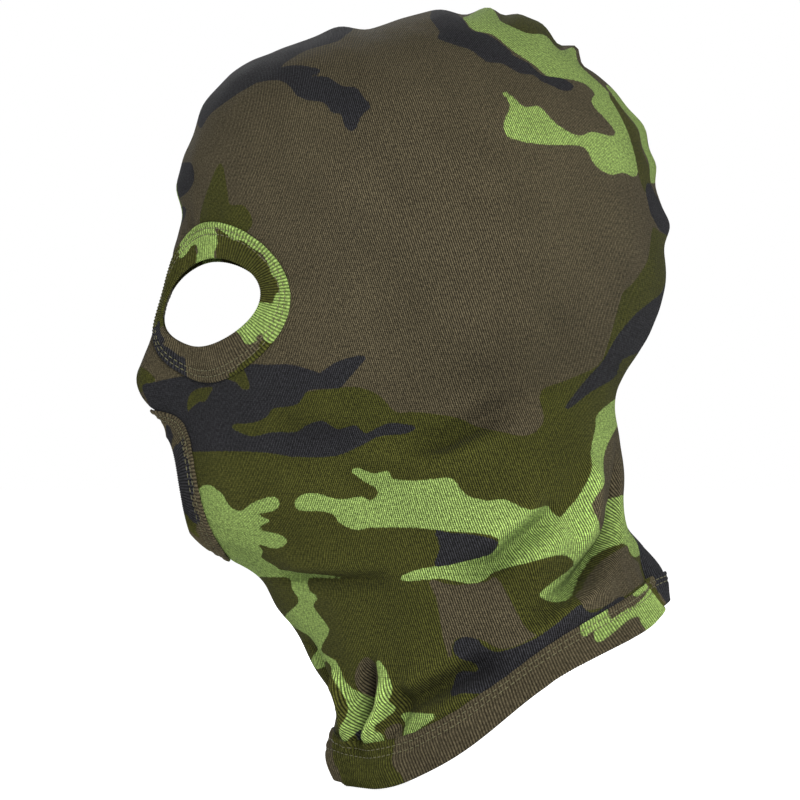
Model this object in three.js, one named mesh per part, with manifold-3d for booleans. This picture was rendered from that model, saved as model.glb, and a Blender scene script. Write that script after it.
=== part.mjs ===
// Three-hole jersey balaclava, drawn as it sits on a head. Millimetres, +Z up, face towards -Y.
// The origin is the middle of the head, level with the eyes, and +X is the wearer's left.
// Every cloth piece follows one hood form: a head and neck joined smoothly, as stretch cloth spans them.

import * as THREE from 'three';
import { ParametricGeometry } from 'three/addons/geometries/ParametricGeometry.js';
import { mergeVertices } from 'three/addons/utils/BufferGeometryUtils.js';
import Module from 'manifold-3d';

const wasm = await Module();
wasm.setup();

// Cloth and thread
const clothThickness = 0.9;
const bandThickness = 1.4; // rib cloth folded double
const threadThickness = 0.5;
const clearance = 0.8; // between a band and the panel beneath it
const threadClearance = 0.65; // between threads and the cloth they lie on
const seamClearance = 1.1; // between the overlocked seam allowance and the panels
const seamGap = 0.4; // between the two panels along the centre seam
const overlockWidth = 4;
const overlockThickness = 1.5;

// Centres and radii of the rounded forms that fill the hood
const headForms = [
  { centre: [0, 25, 29], radii: [77, 79, 86] }, // back of the head
  { centre: [0, -20, 41], radii: [70, 77, 71] }, // forehead
  { centre: [0, -38, -30], radii: [60, 55, 64] }, // cheeks
  { centre: [0, -52, -82], radii: [43, 37, 30] }, // jaw and chin
  { centre: [0, -70, -76], radii: [38, 27, 28] }, // lips
];
const noseForm = { top: [0, -88, 8], bottom: [0, -102, -37], topRadius: 9, bottomRadius: 13 };
const formBlend = 24; // how widely the cloth bridges the dip between two forms

// Neck, measured along an axis that leans forward, square to the hem
const neck = {
  hemCentre: [0, 35, -170],
  lean: THREE.MathUtils.degToRad(28),
  halfWidth: 56,
  halfDepth: 69,
  widening: 0.09, // of the half depth, for each millimetre up the neck
  backwardShift: 4, // of the neck's middle at the hem
  backwardSlope: 0.16, // the same, for each millimetre up the neck
  flare: 6, // extra size of the hem edge
  flareHeight: 12,
  domeStart: 72, // height where the neck starts to round off inside the head
  domeHeight: 50,
  blend: 24,
};

// Bound openings: half sizes of the hole and of the band's outer edge, and how far that edge is shifted
const eyeRing = {
  centre: [30.4, -82.4, -5.5],
  turn: THREE.MathUtils.degToRad(42), // sideways from straight ahead
  hole: [31, 18.5],
  edge: [39.5, 32.5],
  edgeShift: [3, 0],
  tilt: THREE.MathUtils.degToRad(9),
};
const mouthRing = {
  centre: [0, -90, -80],
  turn: 0,
  hole: [23, 20],
  edge: [34, 31],
  edgeShift: [0, 0],
  tilt: 0,
};
const hemBandHeight = 15;
const hemDrop = { side: 9.5, front: 7 }; // how far the hem hangs below its plane at the sides
const panelEdge = 0.5; // where the panel ends under a band, from the hole's edge (0) to the band's (1)
const stitchRows = [0.83, 0.65]; // the two needle rows, on the same scale
const ringSegments = 44;
const hemSegments = 56;

// Blank tape label inside the back of the neck, sewn down along its lower edge
const label = { width: 22, height: 17, thickness: 0.4, bottom: 9, inset: 5.5, stitchHeight: 2.5 };

const up = new THREE.Vector3(0, -Math.sin(neck.lean), Math.cos(neck.lean)); // up the neck's axis
const ahead = new THREE.Vector3(0, -Math.cos(neck.lean), -Math.sin(neck.lean)); // across it, to the front
const sideways = new THREE.Vector3(1, 0, 0);
const hemCentre = new THREE.Vector3(...neck.hemCentre);
const fanHeight = 148; // along the neck's axis, where the rays that find the crown start
const lerp = THREE.MathUtils.lerp;

// Facets of the panels, as [from, to, count], closer together over the face.
// Rows below zero are millimetres down the neck's axis, the others degrees up to the crown.
const rowSpans = [[-fanHeight, -70, 7], [-70, 0, 15], [0, 48, 12], [48, 90, 5]];
const columnSpans = [[0, 28, 8], [28, 68, 8], [68, 180, 9]];

// Where the two centre seams end: rows above and below the mouth, and height above the hem
const seamEnds = { overMouth: 17, underMouth: -44, hem: 16 };
const overlockStep = 10;

function smoothMin(a, b, width) {
  const near = Math.max(width - Math.abs(a - b), 0) / width;
  return Math.min(a, b) - near * near * width / 4;
}

function ellipsoidDistance(point, { centre, radii }) {
  const scaled = [point.x - centre[0], point.y - centre[1], point.z - centre[2]].map((d, i) => d / radii[i]);
  const reach = Math.hypot(...scaled);
  const slope = Math.hypot(...scaled.map((d, i) => d / radii[i]));
  return reach * (reach - 1) / Math.max(slope, 1e-6);
}

function noseDistance(point) {
  const top = new THREE.Vector3(...noseForm.top);
  const bridge = new THREE.Vector3(...noseForm.bottom).sub(top);
  const along = THREE.MathUtils.clamp(point.clone().sub(top).dot(bridge) / bridge.lengthSq(), 0, 1);
  const radius = lerp(noseForm.topRadius, noseForm.bottomRadius, along);
  return point.distanceTo(top.addScaledVector(bridge, along)) - radius;
}

function neckDistance(point) {
  const fromHem = point.clone().sub(hemCentre);
  const height = fromHem.dot(up);
  const rise = Math.max(height, 0);
  const spread = neck.flare * Math.exp(-rise / neck.flareHeight);
  const across = point.x / (neck.halfWidth + spread);
  const along = (-fromHem.dot(ahead) - neckMiddle(rise)) / (neck.halfDepth + neck.widening * rise + spread);
  const dome = Math.max(height - neck.domeStart, 0) / neck.domeHeight;
  return (Math.hypot(across, along, dome) - 1) * neck.halfWidth;
}

// Distance to the hood form, negative inside it
function formDistance(point) {
  let distance = noseDistance(point);
  for (const form of headForms) distance = smoothMin(distance, ellipsoidDistance(point, form), formBlend);
  return smoothMin(distance, neckDistance(point), neck.blend);
}

function formNormal(point) {
  const step = 0.4;
  const slope = (axis) => formDistance(point.clone().addScaledVector(axis, step))
    - formDistance(point.clone().addScaledVector(axis, -step));
  return new THREE.Vector3(
    slope(sideways),
    slope(new THREE.Vector3(0, 1, 0)),
    slope(new THREE.Vector3(0, 0, 1)),
  ).normalize();
}

// Where a ray first passes through the form's surface, from either side
function surfacePoint(origin, direction) {
  const stride = 2;
  const startsInside = formDistance(origin) < 0;
  let far = 0;
  const at = (length) => origin.clone().addScaledVector(direction, length);
  while (far < 300 && formDistance(at(far)) < 0 === startsInside) far += stride;
  let near = far - stride;
  for (let i = 0; i < 20; i++) {
    const middle = (near + far) / 2;
    if (formDistance(at(middle)) < 0 === startsInside) near = middle;
    else far = middle;
  }
  return at(far);
}

function lifted(point, height) {
  return point.clone().addScaledVector(formNormal(point), height);
}

// A point on the form from its row and its angle round the neck's axis (0 at the front).
// Rows below zero are heights up that axis; rows from 0 to 90 are degrees up from the fan's level.
function hoodPoint(row, angle) {
  const outward = ahead.clone().multiplyScalar(Math.cos(angle)).addScaledVector(sideways, Math.sin(angle));
  const height = fanHeight + Math.min(row, 0);
  const origin = hemCentre.clone().addScaledVector(up, height).addScaledVector(ahead, -neckMiddle(height));
  const rise = THREE.MathUtils.degToRad(Math.max(row, 0));
  return surfacePoint(origin, outward.multiplyScalar(Math.cos(rise)).addScaledVector(up, Math.sin(rise)));
}

function neckMiddle(height) {
  return neck.backwardShift + neck.backwardSlope * height;
}

// How far below its plane the hem hangs, round the neck's axis
function hemDropAt(angle) {
  return Math.sin(angle) ** 2 * (hemDrop.side + hemDrop.front * Math.cos(angle));
}

function evenSteps(from, to, count) {
  return Array.from({ length: count }, (_, i) => lerp(from, to, i / count));
}

function stops(spans) {
  return [...spans.flatMap(([from, to, count]) => evenSteps(from, to, count)), spans.at(-1)[1]];
}

// A closed body: corners welded, collapsed triangles dropped, faces turned outwards
function closedBody(geometry) {
  for (const name of ['normal', 'uv']) geometry.deleteAttribute(name);
  const welded = mergeVertices(geometry, 1e-3);
  const place = welded.attributes.position;
  const corners = [0, 1, 2].map(() => new THREE.Vector3());
  const kept = [];
  let volume = 0;
  for (let i = 0; i < welded.index.count; i += 3) {
    const [a, b, c] = [0, 1, 2].map((k) => welded.index.getX(i + k));
    if (a === b || b === c || c === a) continue;
    [a, b, c].forEach((vertex, k) => corners[k].fromBufferAttribute(place, vertex));
    volume += corners[0].dot(corners[1].clone().cross(corners[2]));
    kept.push(a, b, c);
  }
  if (volume < 0) kept.reverse();
  welded.setIndex(kept);
  return welded;
}

function toManifold(geometry) {
  const body = closedBody(geometry);
  const vertProperties = new Float32Array(body.attributes.position.array);
  return new wasm.Manifold(new wasm.Mesh({
    numProp: 3, vertProperties, triVerts: new Uint32Array(body.index.array),
  }));
}

function fromManifold(manifold) {
  const { vertProperties, triVerts } = manifold.getMesh();
  const geometry = new THREE.BufferGeometry();
  geometry.setAttribute('position', new THREE.BufferAttribute(new Float32Array(vertProperties), 3));
  geometry.setIndex(new THREE.BufferAttribute(new Uint32Array(triVerts), 1));
  return geometry;
}

// The whole hood form as a solid down to a height above the hanging hem, its surface moved inwards by depth
function hoodSolid(depth, bottom) {
  const rows = stops(rowSpans);
  const half = stops(columnSpans);
  const columns = [...half, ...half.slice(0, -1).reverse().map((degrees) => 360 - degrees)];
  const bendTop = rowSpans[0][1]; // the rows below this one bend down to follow the hem
  const bentRow = (row, angle) => {
    const share = Math.max(bendTop - row, 0) / (bendTop + fanHeight);
    return row + share * (bottom - hemDropAt(angle));
  };
  const points = rows.map((row) => columns.slice(0, -1).map((degrees) => {
    const angle = THREE.MathUtils.degToRad(degrees);
    return lifted(hoodPoint(bentRow(row, angle), angle), -depth);
  }));
  const floor = hemCentre.clone().addScaledVector(up, bottom - hemDrop.side / 2);
  const surface = (u, v, target) => {
    const column = Math.round(u * (columns.length - 1)) % (columns.length - 1);
    const row = Math.round(v * rows.length) - 1;
    target.copy(row < 0 ? floor : points[row][column]);
  };
  return toManifold(new ParametricGeometry(surface, columns.length - 1, rows.length));
}

// A box that holds everything on one side of the centre seam
function sideBox(side) {
  const size = 600; // well past the hood
  const box = new THREE.BoxGeometry(size, size, size);
  box.translate(side * (size / 2 + seamGap / 2), 0, 0);
  return toManifold(box);
}

// A ring laid on the form. at() gives the point for an angle round the ring and a place across its band.
function ringOnForm(ring) {
  const standOff = 60; // from the ring's centre to where its rays start, outside the form
  const facing = new THREE.Vector3(Math.sin(ring.turn), -Math.cos(ring.turn), 0);
  const outer = new THREE.Vector3(Math.cos(ring.turn), Math.sin(ring.turn), 0);
  const outline = (angle, across) => {
    const x = lerp(ring.hole[0], ring.edge[0], across) * Math.cos(angle);
    const y = lerp(ring.hole[1], ring.edge[1], across) * Math.sin(angle);
    return new THREE.Vector2(x, y).rotateAround(new THREE.Vector2(), ring.tilt)
      .add(new THREE.Vector2(...ring.edgeShift).multiplyScalar(across));
  };
  const at = (angle, across) => {
    const flat = outline(angle, across);
    const start = new THREE.Vector3(...ring.centre).addScaledVector(outer, flat.x);
    start.addScaledVector(facing, standOff);
    start.z += flat.y;
    return surfacePoint(start, facing.clone().negate());
  };
  const basis = new THREE.Matrix4().makeBasis(outer, new THREE.Vector3(0, 0, 1), facing.clone());
  return { at, outline, basis, centre: ring.centre };
}

function hemAt(angle, across) {
  return hoodPoint(across * hemBandHeight - hemDropAt(angle) - fanHeight, angle);
}

// A solid all round a ring, with the same section everywhere: corners give [place across the band, height]
function ringSolid(at, corners, segments, mirror = 1) {
  const points = [];
  for (let i = 0; i < segments; i++) {
    const angle = i / segments * 2 * Math.PI;
    points.push(corners.map(([across, height]) => lifted(at(angle, across), height)));
  }
  const surface = (u, v, target) => {
    const i = Math.round(u * segments) % segments;
    const k = Math.round(v * corners.length) % corners.length;
    target.copy(points[i][k]);
    target.x *= mirror;
  };
  return closedBody(new ParametricGeometry(surface, segments, corners.length));
}

const bandTop = clearance + bandThickness;

function bandCorners() {
  return [[0, clearance], [0.5, clearance], [1, clearance], [1, bandTop], [0.5, bandTop], [0, bandTop]];
}

function stitchCorners(across, bandWidth) {
  const half = threadThickness / bandWidth / 2;
  const low = bandTop + threadClearance;
  const high = low + threadThickness;
  return [[across - half, low], [across + half, low], [across + half, high], [across - half, high]];
}

function looperCorners() {
  const high = -clothThickness - threadClearance;
  const low = high - threadThickness;
  const [outer, inner] = stitchRows;
  return [[inner, low], [outer, low], [outer, high], [inner, high]];
}

// The hole that a bound opening leaves in a panel, cut straight through the cloth
function openingCutter(ring) {
  const depth = 90;
  const points = evenSteps(0, 2 * Math.PI, ringSegments).map((angle) => ring.outline(angle, panelEdge));
  const cutter = new THREE.ExtrudeGeometry(new THREE.Shape(points), { depth, bevelEnabled: false, steps: 1 });
  cutter.translate(0, 0, -depth / 2);
  cutter.applyMatrix4(ring.basis);
  cutter.translate(...ring.centre);
  return toManifold(cutter);
}

// Seam allowance bound with thread, along the inside of the centre seam between two points of the profile
function overlockSeam(profile) {
  const depth = clothThickness + seamClearance + overlockThickness / 2;
  const points = profile.map(([row, angle]) => lifted(hoodPoint(row, angle), -depth));
  const path = new THREE.CatmullRomCurve3(points);
  const [w, t] = [overlockWidth / 2, overlockThickness / 2];
  const section = new THREE.Shape([
    new THREE.Vector2(-w, -t * 0.4), new THREE.Vector2(-w * 0.6, -t), new THREE.Vector2(w * 0.6, -t),
    new THREE.Vector2(w, -t * 0.4), new THREE.Vector2(w, t), new THREE.Vector2(-w, t),
  ]);
  const steps = Math.ceil(path.getLength() / overlockStep);
  return closedBody(new THREE.ExtrudeGeometry(section, { steps, extrudePath: path, bevelEnabled: false }));
}

// A flat box inside the back of the neck: size, height of its lower edge, and depth inside the cloth
function napeBox(width, thickness, height, bottom, inset) {
  const box = new THREE.BoxGeometry(width, thickness, height);
  box.rotateX(neck.lean);
  const place = lifted(hoodPoint(bottom + height / 2 - fanHeight, Math.PI), -inset - thickness / 2);
  box.translate(0, place.y, place.z);
  return closedBody(box);
}

const group = new THREE.Group();

function addPiece(name, geometry, color, roughness) {
  const mesh = new THREE.Mesh(geometry, new THREE.MeshStandardMaterial({ color, roughness, metalness: 0 }));
  mesh.name = name;
  group.add(mesh);
}

const colours = {
  cloth: '#4a4632',
  band: '#48452f',
  thread: '#6f6a45',
  overlock: '#5c5a3c',
  label: '#d8d6cc',
};
const rings = { eye: ringOnForm(eyeRing), mouth: ringOnForm(mouthRing) };
const shellBottom = panelEdge * hemBandHeight;
const cutDepth = 12; // how far the inside form reaches below the cloth, to leave the neck open
const hoodShell = hoodSolid(0, shellBottom).subtract(hoodSolid(clothThickness, shellBottom - cutDepth));
const mouthCutter = openingCutter(rings.mouth);
const eyeCutter = openingCutter(rings.eye);
const eyeBandWidth = eyeRing.edge[1] - eyeRing.hole[1];
const mouthBandWidth = mouthRing.edge[1] - mouthRing.hole[1];

for (const [name, side] of [['left', 1], ['right', -1]]) {
  const cutter = side > 0 ? eyeCutter : eyeCutter.mirror([1, 0, 0]);
  const half = hoodShell.intersect(sideBox(side));
  const panel = half.subtract(mouthCutter).subtract(cutter);
  addPiece(`${name}_panel`, fromManifold(panel), colours.cloth, 0.9);
  addPiece(`${name}_eye_band`, ringSolid(rings.eye.at, bandCorners(), ringSegments, side), colours.band, 0.9);
  ['outer', 'inner'].forEach((row, i) => {
    const thread = stitchCorners(stitchRows[i], eyeBandWidth);
    const solid = ringSolid(rings.eye.at, thread, ringSegments, side);
    addPiece(`${name}_eye_stitch_${row}`, solid, colours.thread, 0.7);
  });
  const looper = ringSolid(rings.eye.at, looperCorners(), ringSegments, side);
  addPiece(`${name}_eye_looper_thread`, looper, colours.thread, 0.7);
}

const borders = [
  {
    name: 'mouth',
    at: rings.mouth.at,
    segments: ringSegments,
    width: mouthBandWidth,
    rows: ['outer', 'inner'],
  },
  { name: 'neck', at: hemAt, segments: hemSegments, width: hemBandHeight, rows: ['upper', 'lower'] },
];
for (const { name, at, segments, width, rows } of borders) {
  const bandName = name === 'neck' ? 'neck_hem_band' : `${name}_band`;
  addPiece(bandName, ringSolid(at, bandCorners(), segments), colours.band, 0.9);
  rows.forEach((row, i) => {
    const thread = stitchCorners(stitchRows[i], width);
    addPiece(`${name}_stitch_${row}`, ringSolid(at, thread, segments), colours.thread, 0.7);
  });
  addPiece(`${name}_looper_thread`, ringSolid(at, looperCorners(), segments), colours.thread, 0.7);
}

// Rows and angles that the two seams follow, clear of the loopers beside the mouth and the hem
const seamBottom = seamEnds.hem - fanHeight;
const seams = {
  crown: [
    ...evenSteps(seamEnds.overMouth, 90, 16).map((row) => [row, 0]),
    ...stops([[90, 0, 14], [0, seamBottom, 12]]).map((row) => [row, Math.PI]),
  ],
  chin: stops([[seamEnds.underMouth, seamBottom, 9]]).map((row) => [row, 0]),
};
for (const [name, profile] of Object.entries(seams)) {
  addPiece(`${name}_seam_overlock`, overlockSeam(profile), colours.overlock, 0.8);
}

const { width, thickness, height, bottom, inset, stitchHeight } = label;
addPiece('care_label', napeBox(width, thickness, height, bottom, inset), colours.label, 0.6);
const threadInset = inset + thickness + threadClearance;
const threadHeight = bottom + stitchHeight;
const labelThread = napeBox(width * 0.9, threadThickness, threadThickness, threadHeight, threadInset);
addPiece('label_stitch', labelThread, colours.thread, 0.7);

export default group;
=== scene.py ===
import math

import bmesh
import bpy
import numpy as np
from mathutils import Matrix, Vector


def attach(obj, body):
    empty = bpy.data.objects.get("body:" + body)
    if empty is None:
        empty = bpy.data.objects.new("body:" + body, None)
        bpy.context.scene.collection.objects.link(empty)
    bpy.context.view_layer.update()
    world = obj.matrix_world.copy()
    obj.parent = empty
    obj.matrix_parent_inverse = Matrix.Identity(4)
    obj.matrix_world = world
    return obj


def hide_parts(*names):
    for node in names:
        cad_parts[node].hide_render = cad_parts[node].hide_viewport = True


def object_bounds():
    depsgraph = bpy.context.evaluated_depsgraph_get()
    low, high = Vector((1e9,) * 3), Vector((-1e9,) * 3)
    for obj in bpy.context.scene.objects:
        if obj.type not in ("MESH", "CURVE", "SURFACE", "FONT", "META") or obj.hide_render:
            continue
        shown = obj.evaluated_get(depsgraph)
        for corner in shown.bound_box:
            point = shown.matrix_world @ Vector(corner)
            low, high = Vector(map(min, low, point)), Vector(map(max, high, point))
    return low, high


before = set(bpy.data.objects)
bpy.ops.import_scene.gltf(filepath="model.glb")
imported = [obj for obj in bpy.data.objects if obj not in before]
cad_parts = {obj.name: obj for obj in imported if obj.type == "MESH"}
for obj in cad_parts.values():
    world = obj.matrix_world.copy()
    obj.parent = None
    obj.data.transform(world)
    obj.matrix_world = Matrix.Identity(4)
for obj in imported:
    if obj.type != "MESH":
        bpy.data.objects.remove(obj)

# A three-hole camo balaclava. Tables are in millimetres and degrees; meshes are written in metres.
mm = 0.001
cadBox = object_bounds()
print("frame loaded:", len(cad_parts), "nodes")

# The hood form, as the CAD has it
hoodForm = {
    "heads": [  # centre, radii
        ((0, 25, 29), (77, 79, 86)),  # back of the head
        ((0, -20, 41), (70, 77, 71)),  # forehead
        ((0, -38, -30), (60, 55, 64)),  # cheeks
        ((0, -52, -82), (43, 37, 30)),  # jaw and chin
        ((0, -70, -76), (38, 27, 28)),  # lips
    ],
    "noseTop": (0, -88, 8), "noseBottom": (0, -102, -37),
    "noseRadii": (9, 13),
    "blend": 24,
}
neckForm = {
    "hemCentre": (0, 35, -170), "lean": 28,
    "halfWidth": 56, "halfDepth": 69, "widening": 0.09,
    "backwardShift": 4, "backwardSlope": 0.16,
    "flare": 6, "flareHeight": 12,
    "domeStart": 72, "domeHeight": 50, "blend": 24,
}
fanHeight = 148
lean = math.radians(neckForm["lean"])
upNeck = np.array((0, -math.sin(lean), math.cos(lean)))
aheadNeck = np.array((0, -math.cos(lean), -math.sin(lean)))
sideways = np.array((1.0, 0, 0))
hemCentre = np.array(neckForm["hemCentre"], float)


def smoothMin(a, b, width):
    near = np.maximum(width - np.abs(a - b), 0) / width
    return np.minimum(a, b) - near * near * width / 4


def smoothStep(value, low, high):
    t = np.clip((value - low) / (high - low), 0, 1)
    return t * t * (3 - 2 * t)


def ellipsoidDistance(points, centre, radii):
    scaled = (points - centre) / radii
    reach = np.linalg.norm(scaled, axis=-1)
    slope = np.linalg.norm(scaled / radii, axis=-1)
    return reach * (reach - 1) / np.maximum(slope, 1e-6)


def noseDistance(points):
    top = np.array(hoodForm["noseTop"], float)
    bridge = np.array(hoodForm["noseBottom"], float) - top
    along = np.clip((points - top) @ bridge / (bridge @ bridge), 0, 1)
    topRadius, bottomRadius = hoodForm["noseRadii"]
    gap = points - top - along[..., None] * bridge
    return np.linalg.norm(gap, axis=-1) - topRadius - along * (bottomRadius - topRadius)


def neckMiddle(height):
    return neckForm["backwardShift"] + neckForm["backwardSlope"] * height


def neckDistance(points):
    fromHem = points - hemCentre
    height = fromHem @ upNeck
    rise = np.maximum(height, 0)
    spread = neckForm["flare"] * np.exp(-rise / neckForm["flareHeight"])
    across = points[..., 0] / (neckForm["halfWidth"] + spread)
    depth = neckForm["halfDepth"] + neckForm["widening"] * rise + spread
    along = (-(fromHem @ aheadNeck) - neckMiddle(rise)) / depth
    dome = np.maximum(height - neckForm["domeStart"], 0) / neckForm["domeHeight"]
    return (np.sqrt(across ** 2 + along ** 2 + dome ** 2) - 1) * neckForm["halfWidth"]


def formDistance(points):
    distance = noseDistance(points)
    for centre, radii in hoodForm["heads"]:
        distance = smoothMin(distance, ellipsoidDistance(points, centre, radii), hoodForm["blend"])
    return smoothMin(distance, neckDistance(points), neckForm["blend"])


def formNormals(points, step=0.4):
    slopes = []
    for axis in np.eye(3):
        slopes.append(formDistance(points + axis * step) - formDistance(points - axis * step))
    normals = np.stack(slopes, axis=-1)
    return normals / np.linalg.norm(normals, axis=-1, keepdims=True)


castSpec = {"steps": 170, "reach": 300, "stride": 0.6, "halvings": 22}


def castToForm(origins, directions):
    # first crossing of the form's surface along each ray; NaN where a ray from outside misses
    origins, directions = np.broadcast_arrays(origins, directions)
    far = np.zeros(origins.shape[:-1])
    near = far.copy()
    inside = formDistance(origins) < 0
    running = np.ones(far.shape, bool)
    for _ in range(castSpec["steps"]):
        distance = formDistance(origins + directions * far[..., None])
        running = running & ((distance < 0) == inside) & (far < castSpec["reach"])
        if not running.any():
            break
        stride = np.clip(np.abs(distance) * castSpec["stride"], 1.0, 8.0)
        near = np.where(running, far, near)
        far = np.where(running, far + stride, far)
    missed = far >= castSpec["reach"]
    for _ in range(castSpec["halvings"]):
        middle = (near + far) / 2
        before = (formDistance(origins + directions * middle[..., None]) < 0) == inside
        near = np.where(before, middle, near)
        far = np.where(before, far, middle)
    hits = origins + directions * far[..., None]
    hits[missed] = np.nan
    return hits


def hoodPoints(row, angle):
    # rows below 0 are millimetres down the neck's axis from the fan, the others degrees up to the crown
    row, angle = np.broadcast_arrays(np.asarray(row, float), np.asarray(angle, float))
    outward = np.cos(angle)[..., None] * aheadNeck + np.sin(angle)[..., None] * sideways
    height = fanHeight + np.minimum(row, 0)
    origin = hemCentre + height[..., None] * upNeck - neckMiddle(height)[..., None] * aheadNeck
    rise = np.radians(np.maximum(row, 0))[..., None]
    return castToForm(origin, outward * np.cos(rise) + upNeck * np.sin(rise))


# Bound openings
eyeRing = {
    "centre": (30.4, -82.4, -5.5), "turn": 42,
    "hole": (31, 18.5), "edge": (39.5, 32.5), "edgeShift": (3, 0), "tilt": 9,
}
mouthRing = {
    "centre": (0, -90, -80), "turn": 0, "hole": (23, 20), "edge": (34, 31), "edgeShift": (0, 0), "tilt": 0,
}
hemHeight = 15
hemDrop = {"side": 9.5, "front": 7}  # how far the hem hangs below its plane at the sides
hemCurls = [  # angle, reach, and how far the lower and upper edges lift there
    (0, 15, 2.0, 8.0), (34, 17, -2.0, 0.0), (100, 36, 8.0, 5.0), (180, 18, 4.5, 1.5),
]
panelEdge = 0.5  # where the panel ends under a band, from the hole's edge (0) to the band's (1)
stitchRows = (0.83, 0.65)


def ringAxes(ring):
    turn = math.radians(ring["turn"])
    facing = np.array((math.sin(turn), -math.cos(turn), 0))
    outer = np.array((math.cos(turn), math.sin(turn), 0))
    return facing, outer


def ringPoints(ring, angle, across):
    facing, outer = ringAxes(ring)
    angle, across = np.broadcast_arrays(np.asarray(angle, float), np.asarray(across, float))
    x = (ring["hole"][0] + (ring["edge"][0] - ring["hole"][0]) * across) * np.cos(angle)
    y = (ring["hole"][1] + (ring["edge"][1] - ring["hole"][1]) * across) * np.sin(angle)
    tilt = math.radians(ring["tilt"])
    flatX = x * math.cos(tilt) - y * math.sin(tilt) + ring["edgeShift"][0] * across
    flatY = x * math.sin(tilt) + y * math.cos(tilt) + ring["edgeShift"][1] * across
    standOff = 60
    start = np.array(ring["centre"], float) + flatX[..., None] * outer + standOff * facing
    start = start + flatY[..., None] * np.array((0, 0, 1.0))
    return castToForm(start, -facing)


def ringPlace(ring, points):
    # angle round the ring and place across its band, of points near it; far behind it, across is large
    facing, outer = ringAxes(ring)
    offset = points - np.array(ring["centre"], float)
    flatX, flatY = offset @ outer, offset[..., 2]
    tilt = math.radians(ring["tilt"])
    low, high = np.full(flatX.shape, -0.9), np.full(flatX.shape, 6.0)
    for _ in range(26):
        across = (low + high) / 2
        x = flatX - ring["edgeShift"][0] * across
        y = flatY - ring["edgeShift"][1] * across
        turnedX = x * math.cos(tilt) + y * math.sin(tilt)
        turnedY = -x * math.sin(tilt) + y * math.cos(tilt)
        sizeX = ring["hole"][0] + (ring["edge"][0] - ring["hole"][0]) * across
        sizeY = ring["hole"][1] + (ring["edge"][1] - ring["hole"][1]) * across
        beyond = (turnedX / sizeX) ** 2 + (turnedY / sizeY) ** 2 > 1
        low = np.where(beyond, across, low)
        high = np.where(beyond, high, across)
    angle = np.arctan2(turnedY / sizeY, turnedX / sizeX)
    across = np.where(offset @ facing < -35, 6.0, across)
    return angle, across


def hemDropAt(angle):
    return np.sin(angle) ** 2 * (hemDrop["side"] + hemDrop["front"] * np.cos(angle))


def hemRow(angle, across):
    # the row of a place across the hem band; its edges curl up at the front and back
    turn = np.degrees(np.arccos(np.cos(angle)))
    curl = 0
    for place, reach, low, high in hemCurls:
        curl = curl + (low + (high - low) * np.clip(across, 0, 1)) * np.exp(-((turn - place) / reach) ** 2)
    return across * hemHeight - hemDropAt(angle) + curl - fanHeight


def hemPoints(angle, across):
    angle, across = np.broadcast_arrays(np.asarray(angle, float), np.asarray(across, float))
    return hoodPoints(hemRow(angle, across), angle)


# Side-view places (y, z) are unrolled round the head, so print and knit aren't stretched at its edges.
spine = {"top": (12, 20), "bottom": (38, -170)}


def unroll(points):
    top = np.array(spine["top"], float)
    run = np.array(spine["bottom"], float) - top
    flat = points[..., 1:]
    along = np.clip((flat - top) @ run / (run @ run), 0, 1)
    middle = top + along[..., None] * run
    reach = np.linalg.norm(flat - middle, axis=-1)
    width = np.abs(points[..., 0])
    scale = np.hypot(reach, width) * np.arctan2(reach, width) / np.maximum(reach, 1e-6)
    return middle + (flat - middle) * scale[..., None]


def sideToCloth(places):
    # side-view places on the wearer's left, put on the hood and unrolled
    places = np.asarray(places, float)
    start = np.column_stack((np.full(len(places), 150.0), places))
    hits = castToForm(start, np.array((-1.0, 0, 0)))
    missed = np.isnan(hits[:, 0])
    hits[missed] = np.column_stack((np.zeros(len(places)), places))[missed]
    hits[:, 0] = np.maximum(hits[:, 0], 0)
    return unroll(hits)


def smoothLoop(points, steps=4, closed=True):
    # Catmull-Rom curve through given points
    points = np.asarray(points, float)
    count = len(points)
    curve = []
    for i in range(count if closed else count - 1):
        pick = [(i + k) % count if closed else min(max(i + k, 0), count - 1) for k in (-1, 0, 1, 2)]
        a, b, c, d = points[pick]
        for t in np.arange(steps) / steps:
            bend = 2 * b + (c - a) * t + (2 * a - 5 * b + 4 * c - d) * t ** 2
            curve.append((bend + (3 * b - a - 3 * c + d) * t ** 3) / 2)
    if not closed:
        curve.append(points[-1])
    return np.array(curve)


def segmentDistance(places, starts, ends):
    # distance to the nearest of several segments, and how far along them that is (0 to 1)
    run = ends - starts
    lengths = np.maximum((run ** 2).sum(-1), 1e-9)
    offset = places[:, None, :] - starts
    t = np.clip((offset * run).sum(-1) / lengths, 0, 1)
    gap = np.linalg.norm(offset - t[..., None] * run, axis=-1)
    nearest = gap.argmin(1)
    rowsIndex = np.arange(len(places))
    travelled = (nearest + t[rowsIndex, nearest]) / len(starts)
    return gap[rowsIndex, nearest], travelled


printMargin = 6.0


def loopDistance(places, loop):
    # signed distance to a closed loop, negative inside, no more than the margin outside
    result = np.full(len(places), printMargin)
    low, high = loop.min(0) - printMargin, loop.max(0) + printMargin
    close = np.flatnonzero(((places > low) & (places < high)).all(1))
    ends = np.roll(loop, -1, axis=0)
    for part in np.array_split(close, max(1, len(close) // 8000)):
        if not len(part):
            continue
        near = places[part]
        gap, _ = segmentDistance(near, loop, ends)
        x, y = near[:, :1], near[:, 1:]
        spans = (loop[:, 1] > y) != (ends[:, 1] > y)
        rise = np.where(np.abs(ends[:, 1] - loop[:, 1]) < 1e-9, 1e-9, ends[:, 1] - loop[:, 1])
        crossing = loop[:, 0] + (y - loop[:, 1]) * (ends[:, 0] - loop[:, 0]) / rise
        inside = (spans & (x < crossing)).sum(1) % 2 == 1
        result[part] = np.minimum(np.where(inside, -gap, gap), printMargin)
    return result
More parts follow.
